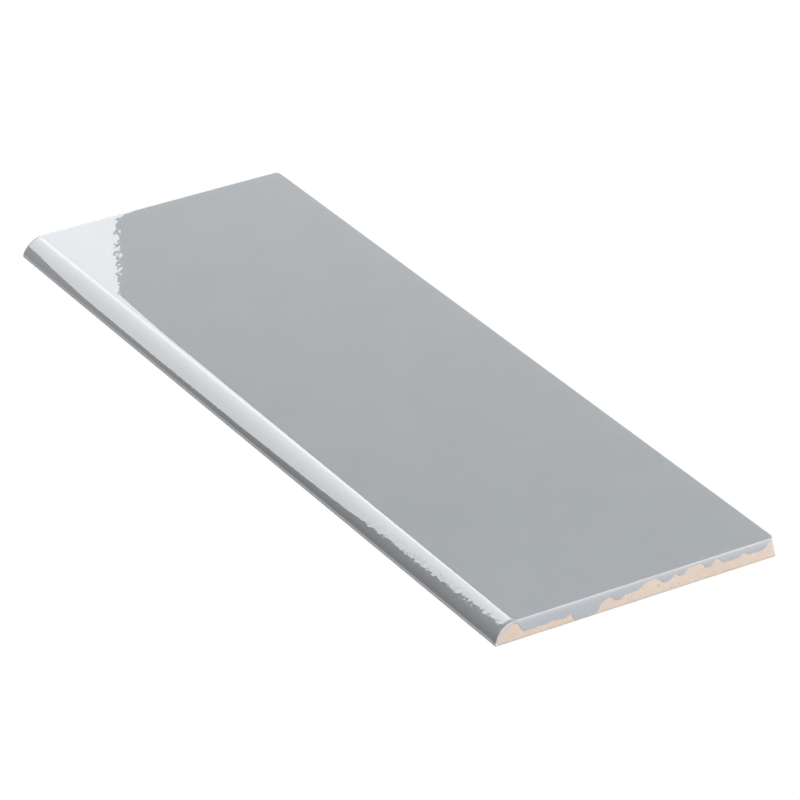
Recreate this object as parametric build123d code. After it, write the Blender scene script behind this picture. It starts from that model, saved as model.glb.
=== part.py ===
from build123d import *
import math
import os

# Single-bullnose glazed wall tile, lying on its back.
# Origin: centre of the back. +X runs across the tile, away from the bullnose edge,
# +Y along its length and +Z out of the glazed face. Millimetres and degrees.

# Overall size of the fired tile, measured at its back
length = 300.0
width = 100.0
thickness = 6.6

# Bullnose along one long edge: a single arc, tangent to the face, that runs down to the back
bullnose_radius = 7.2

# Press draft of the two short ends and of the square long edge, from vertical
draft_angle = 2.5

# Rounding of the two plan corners on the square long edge, of the glazed arris and of the back arris
corner_radius = 1.6
arris_radius = 0.8
back_arris_radius = 0.3

# Keying relief on the back: square pockets with cut corners between raised ribs, inside a plain border
key_pitch = 14.4
key_rib = 2.6
key_depth = 0.7
key_wall_angle = 35.0
key_corner_cut = 1.2
key_border = 6.5

# Where the bullnose arc has its centre, and where it meets the face
bullnose_centre_z = thickness - bullnose_radius
bullnose_crown_x = -width / 2 + math.sqrt(bullnose_radius**2 - bullnose_centre_z**2)

# Where the square long edge meets the face
square_top_x = width / 2 - thickness * math.tan(math.radians(draft_angle))


def tile_section():
    """The cross-section: back, square edge with its draft, face, and the bullnose arc down to the back."""
    foot = (-width / 2, 0)
    crown = (bullnose_crown_x, thickness)
    foot_direction = math.pi + math.asin(bullnose_centre_z / bullnose_radius)
    crown_direction = math.pi / 2
    middle_direction = (foot_direction + crown_direction) / 2
    middle = (
        bullnose_crown_x + bullnose_radius * math.cos(middle_direction),
        bullnose_centre_z + bullnose_radius * math.sin(middle_direction),
    )
    with BuildSketch(Plane.XZ) as section:
        with BuildLine():
            ThreePointArc(foot, middle, crown)
            Polyline(crown, (square_top_x, thickness), (width / 2, 0), foot)
        make_face()
    return section.sketch


def pressed_blank():
    """The section carried along the length, cut to the two drafted ends."""
    bar = extrude(tile_section(), amount=length / 2, both=True)
    wider_than_tile = 2 * width
    between_ends = extrude(Rectangle(wider_than_tile, length), amount=thickness, taper=draft_angle)
    return bar & between_ends


def rounded_blank():
    """The blank with its plan corners, glazed arris and back arris rounded, in that order."""
    blank = pressed_blank()
    halfway_up = blank.edges().filter_by_position(Axis.Z, thickness / 4, thickness * 3 / 4)
    blank = fillet(halfway_up.filter_by_position(Axis.X, 0, width), corner_radius)

    # All edges of the glazed face but the line where the bullnose starts.
    # The rounding follows on down the two ends of the bullnose, which are tangent to them.
    glazed_face = blank.faces().sort_by(Axis.Z)[-1]
    blank = fillet(glazed_face.edges().sort_by(Axis.X)[1:], arris_radius)

    back = blank.faces().sort_by(Axis.Z)[0]
    return fillet(back.edges(), back_arris_radius)


def key_pockets():
    """The pockets between the keying ribs: as many whole ones as the border leaves room for."""
    columns = int((width - 2 * key_border + key_rib) // key_pitch)
    rows = int((length - 2 * key_border + key_rib) // key_pitch)
    mouth = key_pitch - key_rib
    square = Rectangle(mouth, mouth)
    outline = chamfer(square.vertices(), key_corner_cut)
    pocket = extrude(outline, amount=key_depth, taper=key_wall_angle)
    return [place * pocket for place in GridLocations(key_pitch, key_pitch, columns, rows)]


def bullnose_tile():
    """The whole tile, pressed and fired as one piece."""
    return rounded_blank() - key_pockets()


os.makedirs("parts", exist_ok=True)
tile = bullnose_tile()
export_step(tile, "parts/bullnose_tile.step")
print("volume cm3", round(tile.volume / 1000, 1), "solids", len(tile.solids()), "valid", tile.is_valid)
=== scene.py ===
import bmesh
import bpy
import math
import numpy as np
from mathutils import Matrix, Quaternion, Vector


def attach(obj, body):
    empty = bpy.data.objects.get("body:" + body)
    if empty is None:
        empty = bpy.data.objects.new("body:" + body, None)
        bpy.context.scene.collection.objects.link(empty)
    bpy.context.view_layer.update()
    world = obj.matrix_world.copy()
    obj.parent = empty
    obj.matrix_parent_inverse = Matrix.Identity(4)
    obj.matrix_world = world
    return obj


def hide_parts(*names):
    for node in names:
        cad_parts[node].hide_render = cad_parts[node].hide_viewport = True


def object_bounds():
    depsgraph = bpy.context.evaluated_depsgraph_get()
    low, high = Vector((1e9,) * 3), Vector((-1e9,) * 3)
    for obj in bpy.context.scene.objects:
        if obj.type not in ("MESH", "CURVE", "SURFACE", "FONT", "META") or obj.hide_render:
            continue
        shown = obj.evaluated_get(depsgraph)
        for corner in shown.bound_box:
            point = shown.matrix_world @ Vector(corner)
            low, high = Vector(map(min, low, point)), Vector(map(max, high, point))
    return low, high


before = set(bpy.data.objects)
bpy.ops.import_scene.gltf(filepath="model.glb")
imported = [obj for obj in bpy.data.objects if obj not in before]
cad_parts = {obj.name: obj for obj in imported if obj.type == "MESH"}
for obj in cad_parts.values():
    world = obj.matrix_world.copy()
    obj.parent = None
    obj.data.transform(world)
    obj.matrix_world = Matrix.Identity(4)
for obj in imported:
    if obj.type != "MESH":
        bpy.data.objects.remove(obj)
cad_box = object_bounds()

# The biscuit is the tile's body: a slab of beige clay, dry-pressed in a steel die and fired. The die
# leaves its draft on the ends and on the square long edge, and keying pockets in the back. Its ends,
# square edge and back stay bare wherever the glaze doesn't run over them. Sizes are in millimetres.

mm = 0.001

# The CAD part's box from the tile's middle, and the nominal half sizes, of which its rounded arrises
# stop a few hundredths short. The clay's own half sizes hold at the height of its back
box = [side / mm for side in cad_box[1]]
nominal_half_width, nominal_half_length = round(box[0], 0), round(box[1], 0)
clay_inset = 0.05
half_width = nominal_half_width - clay_inset
half_length = nominal_half_length - clay_inset
thickness = box[2]
draft = math.radians(3.9)
glaze_thickness = 0.15
corner_radius = 2.1
back_arris_radius = 0.3

# The arris between the face and a wall. On the bullnose's ends it opens to a wider roll, widest where
# the bullnose has turned this far from the face
arris_radius = 0.45
roll_radius = 1.1
roll_tilt = math.radians(35)

# The centre of the bullnose, across and up, is a shade lower than tangent to the face
bullnose_radius = 7.7
bullnose_centre = (-42.35, -1.1066)
up, down = math.radians(90), math.radians(270)


def centre_off_side(height, distance):
    """Centre, at this height, of a rounding that lies this distance inside the drafted square edge."""
    return half_width - (distance + height * math.sin(draft)) / math.cos(draft), height


def station(centre, radius, angle, edge):
    """One end of a stretch of outline: arc centre x and z, arc radius, angle of the outward normal from
    +X towards +Z, and the radius with which the outline rolls over onto the tile's end there."""
    return np.array([*centre, radius, angle, edge])


def outline(*stretches):
    """The stations along a section, from (first station, last station, fractions) for each stretch.
    All numbers run evenly from first to last, which gives an arc if only the angle changes and a
    straight line if only the centre and radius do."""
    return np.concatenate(
        [first + np.asarray(cuts)[:, None] * (last - first) for first, last, cuts in stretches]
    )


def even_cuts(count):
    """Even fractions from 0 to 1, without the 1, where the next stretch starts."""
    return np.linspace(0, 1, count + 1)[:-1]


def slerp(first, last, share):
    """The unit vector that lies this share of the way round from first to last."""
    angle = np.arccos(np.clip((first * last).sum(-1, keepdims=True), -1, 1))
    return (np.sin((1 - share) * angle) * first + np.sin(share * angle) * last) / np.sin(angle)


def rolled_sweep(stations, reach, lengthwise, turn_steps):
    """The section carried along the tile, on a grid of rows from the near end to the far end by one
    column for each station. Between the ends a row is the section at a share of the station's own half
    length. At each end the section turns over on an arc of its edge radius, from its own normal to that
    of the drafted end plane, which lies at reach at height 0."""
    centre, radius, angle, edge = stations[:, :2], stations[:, 2:3], stations[:, 3], stations[:, 4:]
    out = np.stack([np.cos(angle), np.zeros_like(angle), np.sin(angle)], -1)
    section = np.stack([centre[:, 0], np.zeros_like(angle), centre[:, 1]], -1) + radius * out
    turn_centre = section - edge * out
    turn_y = reach - turn_centre[:, 2:] * math.tan(draft) - edge / math.cos(draft)
    along = np.array([0.0, 1.0, 0.0])
    end_normal = np.array([0.0, math.cos(draft), math.sin(draft)])

    turned = slerp(out[None], end_normal, np.linspace(0, 1, turn_steps + 1)[1:, None, None])
    turn = turn_centre + turn_y * along + edge * turned
    straight = section + np.asarray(lengthwise)[:, None, None] * turn_y * along
    return np.concatenate([(turn * [1, -1, 1])[::-1], straight, turn])


# Keying pockets: their pitch, ribs, depth, wall width and cut corners, and how many there are
key_pitch = 14.4
key_rib = 2.6
key_depth = 0.7
key_wall = key_depth * math.tan(math.radians(35))
key_corner_cut = 1.2
key_columns, key_rows = 6, 20
key_mouth = (key_pitch - key_rib) / 2


def pocket_middles(count):
    """Middles of the pockets along one direction, evenly pitched about the tile's centre."""
    return (np.arange(count) - (count - 1) / 2) * key_pitch


def pocket_lines(count):
    """Where the mesh is cut across a row of pockets: at both edges of each wall, and in three even
    steps across each cut corner."""
    corner = np.linspace(key_mouth - key_wall, key_mouth - key_wall - key_corner_cut, 4)
    half = np.array([key_mouth, *corner])
    return (pocket_middles(count)[:, None] + np.concatenate([-half, half[::-1]])).ravel()


def pocket_depth(x, y):
    """Depth of the back at a point: the distance inside the nearest pocket's eight-sided mouth, over
    the wall's width, up to the full depth."""
    from_column = key_mouth - np.abs(x[..., None] - pocket_middles(key_columns)).min(-1)
    from_row = key_mouth - np.abs(y[..., None] - pocket_middles(key_rows)).min(-1)
    from_corner = (from_column + from_row - key_corner_cut) / math.sqrt(2)
    inside = np.minimum(np.minimum(from_column, from_row), from_corner)
    return key_depth * np.clip(inside / key_wall, 0, 1)


def joined(sheets):
    """One list of vertices and of quads for several grids of points."""
    vertices, faces, used = [], [], 0
    for points in sheets:
        rows, columns = points.shape[:2]
        index = used + np.arange(rows * columns).reshape(rows, columns)
        quads = np.stack([index[:-1, :-1], index[:-1, 1:], index[1:, 1:], index[1:, :-1]], -1)
        faces.append(quads.reshape(-1, 4))
        vertices.append(points.reshape(-1, 3))
        used += rows * columns
    return np.concatenate(vertices), np.concatenate(faces)


def piece_from(name, vertices, faces, material, crease, marks):
    """A mesh object in metres from points in millimetres: coinciding points merged, faces outwards,
    smooth but for edges sharper than crease. Marks are values per point, by name, for its material."""
    mesh = bpy.data.meshes.new(name)
    mesh.from_pydata(vertices * mm, [], faces.tolist())
    for mark, values in marks.items():
        mesh.attributes.new(mark, "FLOAT", "POINT").data.foreach_set("value", values)
    mesh.materials.append(material)
    work = bmesh.new()
    work.from_mesh(mesh)
    bmesh.ops.remove_doubles(work, verts=work.verts, dist=0.0005 * mm)
    bmesh.ops.recalc_face_normals(work, faces=work.faces)
    work.to_mesh(mesh)
    work.free()
    mesh.shade_smooth()
    mesh.set_sharp_from_angle(angle=crease)
    piece = bpy.data.objects.new(name, mesh)
    bpy.context.scene.collection.objects.link(piece)
    return piece


def biscuit_points():
    """The biscuit as one closed grid: the section loop, set in by the glaze's thickness but for the
    back, rolled over at both ends, and each end filled by loops that close on a line at mid height."""
    edge = arris_radius - glaze_thickness
    corner = corner_radius - glaze_thickness
    roll = roll_radius - glaze_thickness
    nose = bullnose_radius - glaze_thickness
    top = thickness - glaze_thickness
    back = back_arris_radius

    # Radius with which the arris of the square edge rolls over onto the two ends
    shoulder = 0.55

    # Steps of the mesh round an arris, up the square edge, down the bullnose to its widest roll and on
    # to its foot, and from the rim of each end to its middle
    arris_count, edge_count, roll_count, foot_count, cap_count = 5, 4, 10, 14, 4

    # The back arris under the bullnose is tangent to it from inside
    foot_rise = back - bullnose_centre[1]
    foot_centre = (bullnose_centre[0] - math.sqrt((nose - back) ** 2 - foot_rise**2), back)
    foot_angle = math.atan2(foot_rise, foot_centre[0] - bullnose_centre[0])
    side_foot = centre_off_side(back, back)
    side_head = centre_off_side(top - edge, edge)
    face_end = (bullnose_centre[0], top - edge)

    columns = pocket_lines(key_columns)
    back_span = side_foot[0] - foot_centre[0]
    back_cuts = (np.array([foot_centre[0], *columns]) - foot_centre[0]) / back_span
    face_span = face_end[0] - side_head[0]
    face_cuts = (np.array([side_head[0], *columns[::-1]]) - side_head[0]) / face_span
    nose_head = station(bullnose_centre, nose, up, edge)
    nose_roll = station(bullnose_centre, nose, up + roll_tilt, roll)
    nose_foot = station(bullnose_centre, nose, foot_angle, back)
    arris = even_cuts(arris_count)
    loop = outline(
        (station(foot_centre, back, down, back), station(side_foot, back, down, back), back_cuts),
        (station(side_foot, back, -up, back), station(side_foot, back, draft, back), arris),
        (
            station(side_foot, back, draft, back),
            station(side_head, edge, draft, corner),
            even_cuts(edge_count),
        ),
        (station(side_head, edge, draft, corner), station(side_head, edge, up, shoulder), arris),
        (station(side_head, edge, up, shoulder), station(face_end, edge, up, edge), face_cuts),
        (nose_head, nose_roll, even_cuts(roll_count)),
        (nose_roll, nose_foot, even_cuts(foot_count)),
        (station(foot_centre, back, foot_angle, back), station(foot_centre, back, down, back), [*arris, 1]),
    )
    straight_end = half_length - back * math.tan(draft) - back / math.cos(draft)
    lengthwise = np.array([-straight_end, *pocket_lines(key_rows), straight_end]) / straight_end
    points = rolled_sweep(loop, half_length, lengthwise, arris_count)

    # What lies beyond the rounding of the two plan corners on the square edge is moved in onto it.
    # The rounding's radius grows from the back arris to the face arris.
    lift = np.clip((points[..., 2:] - side_head[1]) / edge, 0, 1)
    inset = points[..., 2:] * math.tan(draft) + edge * (1 - np.sqrt(1 - lift**2))
    rounding = np.interp(points[..., 2:], [back, side_head[1]], [back, corner])
    beyond = np.abs(points[..., :2]) - ([half_width, half_length] - inset - rounding)
    distance = np.linalg.norm(beyond, axis=-1, keepdims=True)
    outside = (beyond > 0).all(-1, keepdims=True) & (distance > rounding) & (points[..., :1] > 0)
    inwards = np.sign(points[..., :2]) * beyond * (1 - rounding / distance)
    points[..., :2] -= np.where(outside, inwards, 0)

    on_back = np.arange(len(loop)) < len(back_cuts)
    points[..., 2] += np.where(on_back, pocket_depth(points[..., 0], points[..., 1]), 0)

    middle = points[-1].copy()
    middle[:, 0] = np.clip(middle[:, 0], columns[0], columns[-1])
    middle[:, 2] = thickness / 2
    middle[:, 1] = half_length - middle[:, 2] * math.tan(draft)
    shares = np.linspace(0, 1, cap_count + 1)[1:, None, None]
    far_cap = points[-1] + shares * (middle - points[-1])
    near_cap = (far_cap * [1, -1, 1])[::-1]
    return np.concatenate([near_cap, points, far_cap])


class Wire:
    """The output of a shader node. Arithmetic with wires and numbers adds the Math nodes that do it."""

    def __init__(self, tree, socket):
        self.tree = tree
        self.socket = socket

    @classmethod
    def node(cls, tree, kind, settings, inputs, output=0):
        """Adds a node of this type, with its settings, then the values or wires of its inputs. Gives
        the wire from one of its outputs, or none for the node that a tree ends in."""
        node = tree.nodes.new(kind)
        for name, value in settings.items():
            setattr(node, name, value)
        for name, value in inputs.items():
            if isinstance(value, Wire):
                tree.links.new(value.socket, node.inputs[name])
            else:
                node.inputs[name].default_value = value
        return cls(tree, node.outputs[output]) if node.outputs else None

    def split(self, axis):
        """One component of a vector."""
        return Wire.node(self.tree, "ShaderNodeSeparateXYZ", {}, {0: self}, axis)

    def calculate(self, operation, *others):
        """A Math node's result on this wire and the others, in that order."""
        inputs = dict(enumerate((self, *others)))
        return Wire.node(self.tree, "ShaderNodeMath", {"operation": operation}, inputs)

    def at_least(self, other):
        """The larger of the two."""
        return self.calculate("MAXIMUM", other)

    def at_most(self, other):
        """The smaller of the two."""
        return self.calculate("MINIMUM", other)

    def between(self, low, high):
        """How far this wire is from low to high, as a smooth step from 0 to 1."""
        settings = {"interpolation_type": "SMOOTHSTEP"}
        inputs = {"Value": self, "From Min": low, "From Max": high}
        return Wire.node(self.tree, "ShaderNodeMapRange", settings, inputs)

    def colour(self, first, second):
        """The first colour where this wire is 0, the second where it is 1."""
        settings = {"data_type": "RGBA"}
        return Wire.node(self.tree, "ShaderNodeMix", settings, {0: self, 6: first, 7: second}, 2)

    def __add__(self, other):
        return self.calculate("ADD", other)

    def __sub__(self, other):
        return self.calculate("SUBTRACT", other)

    def __rsub__(self, other):
        return self * -1.0 + other

    def __mul__(self, other):
        return self.calculate("MULTIPLY", other)

    __radd__ = __add__
    __rmul__ = __mul__


def new_material(name):
    """An empty node material and its tree."""
    material = bpy.data.materials.new(name)
    material.use_nodes = True
    material.node_tree.nodes.clear()
    return material, material.node_tree


def place(tree):
    """Object coordinates, in metres."""
    return Wire.node(tree, "ShaderNodeTexCoord", {}, {}, "Object")


def noise(where, size, detail):
    """Noise with features of about this size in millimetres, mostly from 0.3 to 0.7."""
    inputs = {"Vector": where, "Scale": 1 / (size * mm), "Detail": detail}
    return Wire.node(where.tree, "ShaderNodeTexNoise", {}, inputs, "Fac")


def ends_in(shader):
    """Puts this shader on the surface of its material."""
    Wire.node(shader.tree, "ShaderNodeOutputMaterial", {}, {"Surface": shader})


def biscuit_material():
    """Matt beige clay: soft cloudy tone, fine grain, sparse dark specks, and darker and browner towards the
    back.
    """
    material, tree = new_material("beige_biscuit")
    where = place(tree)
    pale, deep = (0.75, 0.63, 0.535, 1), (0.67, 0.55, 0.46, 1)
    speck, brown = (0.42, 0.31, 0.24, 1), (0.52, 0.41, 0.34, 1)
    brown_top = 0.9

    cloud = noise(where, size=5.0, detail=3.0)
    grain = noise(where, size=0.5, detail=3.0)
    base = (cloud * 0.6 + grain * 0.8).between(0.45, 1.05).colour(pale, deep)
    specks = noise(where, size=0.9, detail=1.0).between(0.70, 0.76)
    base = (specks * 0.5).colour(base, speck)
    foot = 1 - (where.split("Z") * (1 / mm)).between(0.0, brown_top)
    base = (foot * 0.55).colour(base, brown)
    relief = {"Height": grain, "Distance": 0.05 * mm, "Strength": 0.6}
    bump = Wire.node(tree, "ShaderNodeBump", {}, relief)
    clay = {"Base Color": base, "Roughness": 0.85, "Specular IOR Level": 0.3, "Normal": bump}
    ends_in(Wire.node(tree, "ShaderNodeBsdfPrincipled", {}, clay))
    return material


biscuit = piece_from("biscuit", *joined([biscuit_points()]), biscuit_material(), math.radians(40), {})
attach(biscuit, "root")
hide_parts("bullnose_tile")

# The glaze is a glossy pale grey glass, poured over the face and the bullnose before firing. It rounds
# the arrises thinly and runs down the ends and the square edge in tongues with a rounded lip, one of
# them as far as the back. It stops just short of the back all along the bullnose.

# Height at which it stops on the bullnose, length over which it thins out to its lip, how far the lip
# ends under the clay's surface, and how far its underside does
bare_foot = 0.45
lip = 0.35
lip_sink = 0.03
shell_depth = 0.10

# Spacing of the mesh: off the arris on the face, along the ends, and along the square edge
guard = 0.15
end_step = 0.3
side_step = 0.45

# Steps of the mesh round the arris, down a wall to the lip and down the lip, up the bullnose's own lip,
# round the bullnose and the crown, round a plan corner, and along the bullnose
arris_steps, wall_steps, lip_steps, foot_steps = 8, 7, 6, 5
nose_steps, crown_steps, corner_steps, nose_rows = 35, 12, 8, 60

# Just before the bullnose the face starts to fall off on a very flat arc, tangent to both
crown_radius = 83.0
crown_drop = crown_radius - bullnose_radius
crown_turn = math.acos((bullnose_centre[1] - thickness + crown_radius) / crown_drop)
crown_centre = (bullnose_centre[0] + crown_drop * math.sin(crown_turn), thickness - crown_radius)
crown_end = math.pi / 2 + crown_turn

# Depth from the face of the thin band between the tongues, and of the deepest tongue
band = 0.95
deepest_run = thickness - 0.3

# Tongues of glaze on the near end, in millimetres from the bullnose foot: left and right flank, depth
# from the face, and how soft each flank is
near_runs = [
    (8.8, 20.6, 4.35, 0.35, 0.50),
    (20.0, 27.5, 4.35, 0.50, 0.70),
    (27.15, 36.4, 8.0, 0.10, 0.70),
    (35.5, 40.3, 3.1, 0.50, 0.60),
    (41.0, 45.8, 4.1, 0.45, 0.50),
    (45.2, 51.9, 3.15, 0.50, 1.00),
    (58.0, 62.9, 3.2, 0.35, 0.35),
    (64.2, 67.3, 2.9, 0.25, 0.30),
    (73.9, 77.2, 3.05, 0.22, 0.40),
    (79.9, 88.0, 3.15, 0.45, 0.80),
    (88.7, 96.6, 3.15, 0.60, 0.35),
]


def seeded_runs(seed, extent):
    """Tongues of the same make for an edge of this length. Steps from one left flank to the next, widths
    and softness are drawn evenly. Depths go with the square of a draw, so only a few are deep."""
    least_step, most_step, last_start = 5.0, 10.5, extent - 9.0
    shallowest, depth_range = 2.6, 2.6
    random = np.random.default_rng(seed)
    left = np.cumsum(random.uniform(least_step, most_step, int(extent / least_step)))
    left = left[left < last_start]
    count = len(left)
    right = left + random.uniform(3.5, 8.5, count)
    depth = shallowest + depth_range * random.random(count) ** 2
    left_soft = random.uniform(0.2, 0.5, count)
    right_soft = random.uniform(0.4, 0.9, count)
    return np.stack([left, right, depth, left_soft, right_soft], -1)


def run_depth(position, runs):
    """How far the glaze runs down at each position. A tongue is its depth below the thin band, times a
    logistic step up at its left flank and down at its right one. Tongues are joined by a power sum and
    wander by two sine waves, and the result is averaged over a short stretch, which rounds the notches
    between them."""
    power, half_stretch, steepest = 2.5, 0.45, 60
    left, right, depth, left_soft, right_soft = np.asarray(runs).T[:, :, None, None]
    position = position[:, None] + np.linspace(-half_stretch, half_stretch, 7)
    step_up = 1 / (1 + np.exp(np.clip((left - position) / left_soft, -steepest, steepest)))
    step_down = 1 / (1 + np.exp(np.clip((position - right) / right_soft, -steepest, steepest)))
    tongues = (((depth - band) * step_up * step_down) ** power).sum(0) ** (1 / power)
    wander = 0.10 * np.sin(position * 1.9) + 0.06 * np.sin(position * 4.3 + 1.0)
    return np.clip(band + tongues + wander * np.minimum(tongues, 1), band, deepest_run).mean(-1)


def half_rim():
    """Stations along the rim of the glaze, from the foot of the bullnose along the near end, round the
    plan corner and up the square edge to its middle. Each has the centre and the radius of the ball
    that rounds the arris there, the normals of the face and of the wall, and, for the bare foot of the
    bullnose, how full and how thin the glaze is. The last result is the number of stations from the
    foot to the first one on the flat face."""
    lean, skin = math.tan(draft), glaze_thickness / math.cos(draft)
    reach, breadth = half_length + skin, half_width + skin
    centre_height = thickness - arris_radius

    # The bullnose, from its lip to the crown, then the crown, by the angle of their normals
    foot_angle = math.pi - math.asin((bare_foot - bullnose_centre[1]) / bullnose_radius)
    lip_angle = lip / bullnose_radius
    curl = 1 - np.cos(np.linspace(0, math.pi / 2, foot_steps + 1))
    on_nose = np.linspace(foot_angle - lip_angle, crown_end, nose_steps + 1)[1:]
    to_face = np.linspace(crown_end, math.pi / 2, crown_steps + 1)[1:]
    angle = np.concatenate([foot_angle - lip_angle * curl, on_nose, to_face])
    on_crown = (angle < crown_end)[:, None]
    arc_normal = np.stack([np.cos(angle), 0 * angle, np.sin(angle)], -1)
    crown_middle, nose_middle = np.insert(crown_centre, 1, 0), np.insert(bullnose_centre, 1, 0)
    roll = np.interp(angle, [up, up + roll_tilt, foot_angle], [arris_radius, roll_radius, arris_radius])
    roll = roll[:, None]
    arc_reach = np.where(on_crown, crown_radius, bullnose_radius) - roll
    arc_centre = np.where(on_crown, crown_middle, nose_middle) + arc_reach * arc_normal

    # The flat face along the near end, up to a short gap before the plan corner
    gap = 0.1
    corner_middle = breadth - centre_height * lean - corner_radius
    flat_start = crown_centre[0] + guard
    across = np.append(flat_start, np.arange(flat_start + guard, corner_middle - gap, end_step))
    flat_centre = np.stack([across, 0 * across, 0 * across + centre_height], -1)
    end_centre = np.concatenate([arc_centre, flat_centre])
    radius = np.concatenate([roll, 0 * flat_centre[:, :1] + arris_radius])
    end_centre[:, 1:2] = -(reach - end_centre[:, 2:] * lean - radius / math.cos(draft))

    # The plan corner, and the square edge up to its middle
    turn = np.linspace(-math.pi / 2, 0, corner_steps + 1)
    heading = np.stack([np.cos(turn), np.sin(turn), 0 * turn], -1)
    corner = np.array([corner_middle, -(corner_middle + reach - breadth), centre_height])
    corner_centre = corner + (corner_radius - arris_radius / math.cos(draft)) * heading
    along = np.linspace(corner[1] + 2 * gap, 0, int((half_length - corner_radius) / side_step))
    side_centre = np.stack([0 * along + corner_centre[-1, 0], along, 0 * along + centre_height], -1)

    centre = np.concatenate([end_centre, corner_centre, side_centre])
    radius = np.concatenate([radius, np.full((len(turn) + len(along), 1), arris_radius)])
    face = np.zeros_like(centre)
    face[:, 2] = 1
    face[: len(angle)] = arc_normal
    facing = np.zeros_like(centre)
    facing[: len(end_centre), 1] = -1
    facing[len(end_centre) : len(end_centre) + len(turn)] = heading
    facing[len(end_centre) + len(turn) :, 0] = 1
    wall = facing * math.cos(draft) + [0, 0, math.sin(draft)]

    # The cover closes on a quarter circle at the foot, and is thin in a strip above it
    full = np.ones((len(centre), 1))
    full[: len(curl), 0] = np.sqrt(1 - (1 - curl) ** 2)
    thin = np.zeros((len(centre), 1))
    strip_middle, strip_top = 1.05, 1.4
    height = bullnose_centre[1] + bullnose_radius * np.sin(angle)
    foot_thin = np.interp(height, [bare_foot, strip_middle, strip_top], [0.92, 0.66, 0.0])
    thin[: len(angle), 0] = foot_thin
    return centre, radius, face, wall, full, thin, len(angle) + 1


def glaze_sheets(rise):
    """The grids of points of one side of the glaze, and two marks for each point: on_wall, which goes
    from 0 on the face to 1 on a wall, and thin, which is the glaze's thinness with a
    painted highlight along the arris. A point lies the glaze's thickness and the sink of its lip under
    the glazed surface, and is raised by rise times the share of full cover there."""
    centre, radius, face, wall, full, thin, arc_count = half_rim()

    def both_halves(values, flip=1.0):
        """The half rim's values and their mirror image, which meet at the middle of the square edge."""
        return np.concatenate([values, values[-2::-1] * flip])

    mirror = np.array([1.0, -1.0, 1.0])
    centre, wall = both_halves(centre, mirror), both_halves(wall, mirror)
    radius, face, full, thin = (both_halves(values) for values in (radius, face, full, thin))
    count = len(centre)

    # Depth of the runs on the near end, the far end and the square edge
    across = centre[:, 0] + half_width
    near = run_depth(across, near_runs)
    far = run_depth(across, seeded_runs(11, 2 * half_width))
    side = run_depth(centre[:, 1] + half_length, seeded_runs(5, 2 * half_length))
    on_side = np.abs(wall[:, 0]) > 0.99
    on_end = np.abs(wall[:, 0]) < 0.01
    end_depth = np.where(centre[:, 1] < 0, near, far)
    depth = np.where(on_side, side, np.where(on_end, end_depth, band))[:, None]
    shortest = 0.3
    length = np.maximum(depth - radius * (1 - math.sin(draft)), shortest)

    # The strip goes over the arris from the face and down the wall to the lip
    inwards = -(wall - (wall * face).sum(-1, keepdims=True) * face)
    inwards /= np.linalg.norm(inwards, axis=-1, keepdims=True)
    downhill = -(face - (face * wall).sum(-1, keepdims=True) * wall)
    downhill /= np.linalg.norm(downhill, axis=-1, keepdims=True)
    start = centre + radius * face + guard * inwards
    share = np.linspace(0, 1, arris_steps + 1)[:, None, None]
    turned = slerp(face[None], wall[None], share)
    arris = centre + radius * turned
    edge_lip = np.minimum(lip, length)
    body = np.linspace(0, 1, wall_steps + 1)[1:, None, None] * (length - edge_lip)
    curl = np.sin(np.linspace(0, math.pi / 2, lip_steps + 1))[1:, None, None]
    distance = np.concatenate([body, (length - edge_lip) + curl * edge_lip])
    wall_points = arris[-1] + distance * downhill
    strip = np.concatenate([start[None], arris, wall_points])
    strip_normal = np.concatenate([face[None], turned, np.broadcast_to(wall, wall_points.shape)])
    wall_cover = np.concatenate([0 * body + 1, np.sqrt(1 - curl**2) + 0 * edge_lip])
    strip_cover = np.concatenate([np.ones((arris_steps + 2, count, 1)), wall_cover]) * full

    # Marks of the strip: the glaze is thinnest on the arris and thickens down the wall, and a painted
    # highlight runs in a narrow line along the middle of the arris
    wall_thin, fade = 0.3, 0.7
    share = share + 0 * length
    on_wall = np.concatenate([0 * share[:1], share, 0 * distance + 1])
    # The sine's eighth power is the painted highlight, and the wall's share is the thinning glaze
    arris_highlight_and_thin = np.maximum(np.sin(math.pi * share) ** 8, wall_thin * share)
    edge_highlight_and_thin = np.concatenate([0 * share[:1], arris_highlight_and_thin, wall_thin * np.exp(-distance / fade)])
    strip_marks = np.concatenate([on_wall, np.maximum(edge_highlight_and_thin, thin)], -1)

    # The bullnose and the crown, from rim to rim
    rim = start[:arc_count]
    rim_to_rim = np.linspace(-1, 1, nose_rows + 1)[:, None, None]
    nose = rim * [1, 0, 1] + rim_to_rim * -rim * [0, 1, 0]
    nose_normal = np.broadcast_to(face[:arc_count], nose.shape)
    nose_cover = np.broadcast_to(full[:arc_count], (*nose.shape[:2], 1))
    nose_thin = np.broadcast_to(thin[:arc_count], nose_cover.shape)
    sheets = [
        (strip, strip_normal, strip_cover, strip_marks),
        (nose, nose_normal, nose_cover, np.concatenate([0 * nose_thin, nose_thin], -1)),
    ]

    # The flat face: each point of its rim joined to the nearest point of a line along its middle
    middle_x, middle_reach = (bullnose_centre[0] + half_width) / 2, 100
    for rim in (start[arc_count - 1 : count - arc_count + 1], nose[:, -1]):
        middle_y = np.clip(rim[:, 1], -middle_reach, middle_reach)
        points = np.stack([rim, np.stack([0 * middle_y + middle_x, middle_y, rim[:, 2]], -1)])
        upwards = np.broadcast_to([0.0, 0.0, 1.0], points.shape)
        sheets.append((points, upwards, np.ones((*points.shape[:2], 1)), np.zeros((*points.shape[:2], 2))))

    under = glaze_thickness + lip_sink
    placed = [points + normal * (rise * cover - under) for points, normal, cover, _ in sheets]
    inside_box = [np.clip(points, -np.array(box), box) for points in placed]
    return inside_box, [marks.reshape(-1, 2) for *_, marks in sheets]


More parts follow.
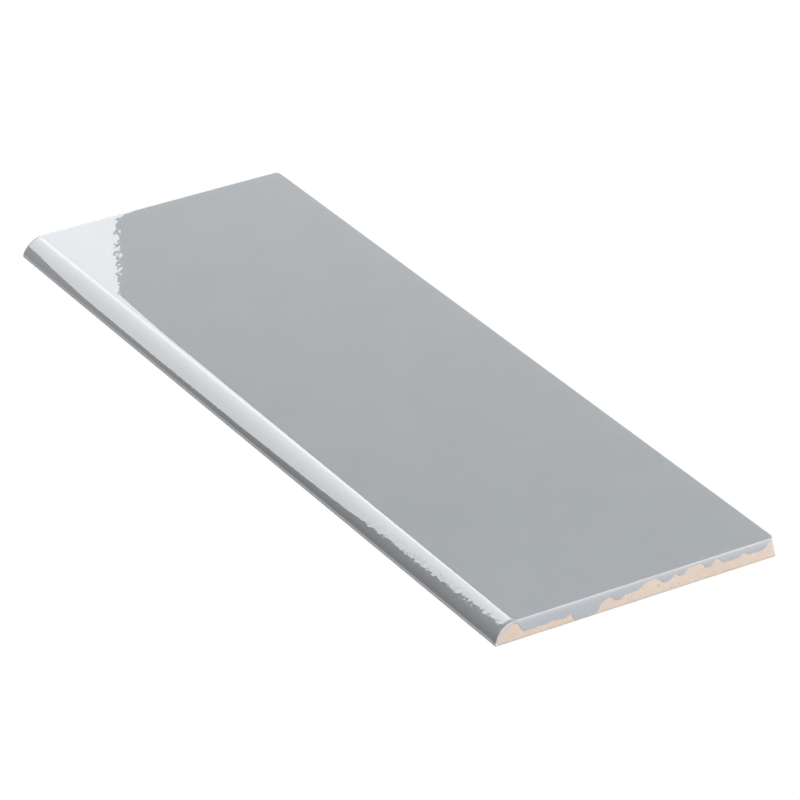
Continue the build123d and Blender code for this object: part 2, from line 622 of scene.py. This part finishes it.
def glaze_material():
    """Glossy pale grey glass: faint cloudy mottling on the face, bluer where it has run down a wall,
    pinkish where it is thin, and a painted pinkish-white highlight along the arrises. It ripples
    softly, droops towards the ends and the square edge, and more so on the near end of the bullnose,
    and is dimpled low on the near half of the bullnose."""
    material, tree = new_material("grey_glaze")
    where = place(tree)
    pale, deep = (0.437, 0.461, 0.478, 1), (0.425, 0.449, 0.466, 1)
    bluish, pinkish_and_highlight = (0.435, 0.458, 0.503, 1), (0.92, 0.85, 0.84, 1)
    on_wall = Wire.node(tree, "ShaderNodeAttribute", {"attribute_name": "on_wall"}, {}, "Fac")
    thin = Wire.node(tree, "ShaderNodeAttribute", {"attribute_name": "thin"}, {}, "Fac")
    base = noise(where, size=14.0, detail=3.0).between(0.3, 0.7).colour(pale, deep)
    # Pinkish where the glaze is thin, and the same pale pink is a painted highlight along the arrises
    base = thin.colour(on_wall.colour(base, bluish), pinkish_and_highlight)

    # Heights in millimetres. The droop goes with the cube of how near an edge is, within this width
    across, along = where.split("X") * (1 / mm), where.split("Y") * (1 / mm)
    droop_width, droop_rate = 4.5, 0.00034
    from_end = nominal_half_length - along.calculate("ABSOLUTE")
    from_edge = (nominal_half_width - across).at_most(from_end)
    nearness = (droop_width - from_edge).at_least(0.0)
    droop = nearness * nearness * nearness * -droop_rate

    # On the near end of the bullnose it goes with the square, and fades out across the crown
    end_width, end_rate = 2.6, 0.045
    end_nearness = ((end_width - nominal_half_length) - along).at_least(0.0)
    on_nose = 1 - across.between(-43.6, -42.4)
    end_droop = end_nearness * end_nearness * on_nose * end_rate

    # Short and long ripples, and dimples from one to four millimetres in from the bullnose's foot
    ripple = noise(where, size=2.8, detail=1.0) * 0.0048 + noise(where, size=11.0, detail=1.0) * 0.011
    low_on_nose = across.between(-48.9, -47.9) * (1 - across.between(-46.5, -45.5))
    near_half = 1 - along.between(-95.0, -40.0)
    dimples = (noise(where, size=1.8, detail=0.6) - 0.5) * low_on_nose * near_half * 0.24
    height = ripple + (droop - end_droop) + dimples
    bump = Wire.node(tree, "ShaderNodeBump", {}, {"Height": height, "Distance": mm, "Strength": 1.0})
    glass = {"Base Color": base, "Roughness": 0.012, "IOR": 1.55, "Normal": bump}
    ends_in(Wire.node(tree, "ShaderNodeBsdfPrincipled", {}, glass))
    return material


outer, outer_marks = glaze_sheets(glaze_thickness + lip_sink)
inner, inner_marks = glaze_sheets(-shell_depth)
marks = np.concatenate(outer_marks + inner_marks)
glaze = piece_from(
    "glaze_coat",
    *joined(outer + inner),
    glaze_material(),
    math.radians(50),
    {"on_wall": marks[:, 0], "thin": marks[:, 1]},
)
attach(glaze, "root")

# The floor is a white sheet, seen plain white by the camera and in the glaze. A window in it, wholly
# under the tile and just inside its back arris, lets the back be looked at.

floor_reach = 4.0
window_inset = 0.3


def studio_sheet(name, points, faces, material):
    """A sheet of the studio, from points in metres."""
    mesh = bpy.data.meshes.new(name)
    mesh.from_pydata(points, [], faces)
    mesh.materials.append(material)
    sheet = bpy.data.objects.new(name, mesh)
    bpy.context.scene.collection.objects.link(sheet)
    return sheet


def floor_material():
    """White to the camera and in reflections, and a mid grey that throws little light otherwise."""
    material, tree = new_material("white_floor")
    to_camera = Wire.node(tree, "ShaderNodeLightPath", {}, {}, "Is Camera Ray")
    mirrored = Wire.node(tree, "ShaderNodeLightPath", {}, {}, "Is Glossy Ray")
    grey = Wire.node(tree, "ShaderNodeBsdfDiffuse", {}, {"Color": (0.22, 0.22, 0.225, 1)})
    white = Wire.node(tree, "ShaderNodeEmission", {}, {"Color": (1, 1, 1, 1), "Strength": 1.0})
    seen = to_camera.at_least(mirrored)
    ends_in(Wire.node(tree, "ShaderNodeMixShader", {}, {0: seen, 1: grey, 2: white}))
    return material


corners = np.array([(-1, -1, 0), (1, -1, 0), (1, 1, 0), (-1, 1, 0)])
window = np.array([half_width - window_inset, half_length - window_inset, 0]) * mm
floor_points = np.concatenate([corners * floor_reach, corners * window])
floor_faces = [(i, (i + 1) % 4, 4 + (i + 1) % 4, 4 + i) for i in range(4)]
floor = studio_sheet("floor", floor_points, floor_faces, floor_material())

# Four lamps look at the tile's middle. The two in front of it light it but aren't mirrored in it, so
# that no side is lost in glare. The last one lights the back through the floor's window.

# Azimuth from +Y towards +X and elevation in degrees, distance, width and height in metres, radiance,
# and whether the tile mirrors it
lamps = {
    "key": (149.0, 27.0, 1.6, 1.25, 1.1, 4.3, False),
    "front_fill": (185.0, 8.0, 2.2, 1.8, 0.8, 4.7, False),
    "overhead": (60.0, 75.0, 1.8, 1.2, 1.2, 1.3, True),
    "under": (200.0, -40.0, 1.6, 1.2, 1.2, 5.0, True),
}
for name, (azimuth, elevation, distance, width, height, radiance, mirrored) in lamps.items():
    turned, lifted = math.radians(azimuth), math.radians(elevation)
    level = math.cos(lifted)
    direction = Vector((math.sin(turned) * level, math.cos(turned) * level, math.sin(lifted)))
    lamp_data = bpy.data.lights.new(name, "AREA")
    lamp_data.shape = "RECTANGLE"
    lamp_data.size = width
    lamp_data.size_y = height
    lamp_data.energy = radiance * math.pi * width * height
    lamp = bpy.data.objects.new(name, lamp_data)
    lamp.location = direction * distance
    lamp.rotation_mode = "QUATERNION"
    lamp.rotation_quaternion = (-lamp.location).to_track_quat("-Z", "Y")
    lamp.visible_camera = False
    lamp.visible_glossy = mirrored
    bpy.context.scene.collection.objects.link(lamp)

# The softbox stands upright behind the tile. Its right edge is what ends the reflection on the face.
# Its lower edge is an arch, which keeps its glare off the face when the tile is seen from the front.

# Its place and its lower edge, from right to left: place across and height, all in metres
softbox_y, softbox_top = 5.90, 7.0
softbox_arch = [
    (2.953, 0.3),
    (1.9, 0.3),
    (1.8, 3.3),
    (1.5, 3.6),
    (0.3, 4.1),
    (-1.45, 3.7),
    (-3.0, 2.4),
    (-4.3, 1.0),
    (-5.7, 0.4),
]


def upright(foot, top):
    """Points and quads of a sheet between two lines of as many points."""
    count = len(foot)
    return [*foot, *top], [(i, i + 1, count + i + 1, count + i) for i in range(count - 1)]


def softbox_material():
    """White cloth, lit from behind: dimmer low down, and brightest in a band that slants up to the
    right."""
    material, tree = new_material("softbox_light")
    dim, bright = (0.589, 0.595, 0.607, 1), (0.99, 1.0, 1.02, 1)
    slope = 0.615

    # Height along the slant, in metres. The cloth brightens with it, and most in the hot band
    where = place(tree)
    slant = where.split("Z") - where.split("X") * slope
    hot = slant.between(2.65, 3.1) * (1 - slant.between(3.4, 3.95))
    brightness = slant.between(1.9, 2.9) * 0.51 + hot * 0.49
    light = {"Color": brightness.colour(dim, bright), "Strength": 6.55}
    ends_in(Wire.node(tree, "ShaderNodeEmission", {}, light))
    return material


softbox_foot = [(x, softbox_y, z) for x, z in softbox_arch]
softbox_head = [(x, softbox_y, softbox_top) for x, _ in softbox_arch]
softbox = studio_sheet("softbox", *upright(softbox_foot, softbox_head), softbox_material())
softbox.visible_camera = False

# A low card stands beside the bullnose and is seen only in its reflection. It is what darkens the foot
# of the bullnose, nearly black beside the near end and white beside the far end.

# Its place across, and its upper edge: place along the tile and height, all in millimetres
card_x = -56.0
card_edge = [
    (-200.0, 33.0),
    (-119.0, 31.0),
    (-111.0, 20.5),
    (-102.5, 15.5),
    (-91.0, 13.9),
    (-77.0, 12.4),
    (-64.0, 9.8),
    (-50.0, 7.7),
    (-36.0, 6.4),
    (9.0, 4.6),
    (69.0, 4.0),
    (114.0, 4.0),
    (130.0, 5.8),
    (141.0, 6.8),
    (152.0, 8.7),
    (159.0, 9.8),
    (220.0, 17.0),
]


def card_material():
    """Nearly black, and lighter along the tile towards its far end. It throws no light."""
    material, tree = new_material("black_card")
    black, white = (0.02, 0.02, 0.02, 1), (0.97, 0.97, 0.97, 1)
    lighter = (place(tree).split("Y") * (1 / mm)).between(-30.0, 130.0)
    shade = {"Color": lighter.colour(black, white), "Strength": 1.0}
    ends_in(Wire.node(tree, "ShaderNodeEmission", {}, shade))
    return material


card_foot = [(card_x * mm, y * mm, 0.0) for y, _ in card_edge]
card_head = [(card_x * mm, y * mm, z * mm) for y, z in card_edge]
card = studio_sheet("dark_card", *upright(card_foot, card_head), card_material())
card.visible_camera = False
card.visible_diffuse = False
card.visible_shadow = False

# The room is white to the camera and dim grey to the tile, but for a bright wall low behind it and to
# its right. Directions are unit vectors, so these limits are shares of one.

dim_grey, pale_grey = (0.06, 0.06, 0.062, 1), (0.9, 0.9, 0.9, 1)
wall_top, wall_fade = 0.495, 0.0625

world = bpy.data.worlds.new("studio")
bpy.context.scene.world = world
world.use_nodes = True
tree = world.node_tree
tree.nodes.clear()
toward = Wire.node(tree, "ShaderNodeTexCoord", {}, {}, "Generated")
low = ((wall_top - toward.split("Z")) * (1 / wall_fade)).at_most(1.0).at_least(0.0)
bright = toward.split("X").between(-0.40, -0.10) * toward.split("Y").between(0.0, 0.4) * low
room = Wire.node(
    tree, "ShaderNodeBackground", {}, {"Color": bright.colour(dim_grey, pale_grey), "Strength": 1.0}
)
backdrop = Wire.node(tree, "ShaderNodeBackground", {}, {"Color": (1, 1, 1, 1), "Strength": 1.0})
to_camera = Wire.node(tree, "ShaderNodeLightPath", {}, {}, "Is Camera Ray")
mixed = Wire.node(tree, "ShaderNodeMixShader", {}, {0: to_camera, 1: room, 2: backdrop})
Wire.node(tree, "ShaderNodeOutputWorld", {}, {"Surface": mixed})

# The camera stands where the photograph was taken from: before the near end, to the bullnose's side
# and above. It has a long lens, looks at a point near the tile's middle and is rolled a little.

camera_place = Vector((-0.7138, -1.2069, 0.7555))
camera_target = Vector((0.00515, -0.00527, 0.00028))
camera_roll = math.radians(-0.59)

camera_data = bpy.data.cameras.new("camera")
camera_data.lens = 224.34
camera_data.sensor_width = 36.0
camera_data.clip_start = 0.01
camera_data.clip_end = 100.0
camera = bpy.data.objects.new("camera", camera_data)
camera.location = camera_place
aim = (camera_target - camera.location).to_track_quat("-Z", "Y")
camera.rotation_mode = "QUATERNION"
camera.rotation_quaternion = aim @ Quaternion((0, 0, 1), camera_roll)
bpy.context.scene.collection.objects.link(camera)
bpy.context.scene.camera = camera
bpy.context.scene.view_settings.view_transform = "Standard"
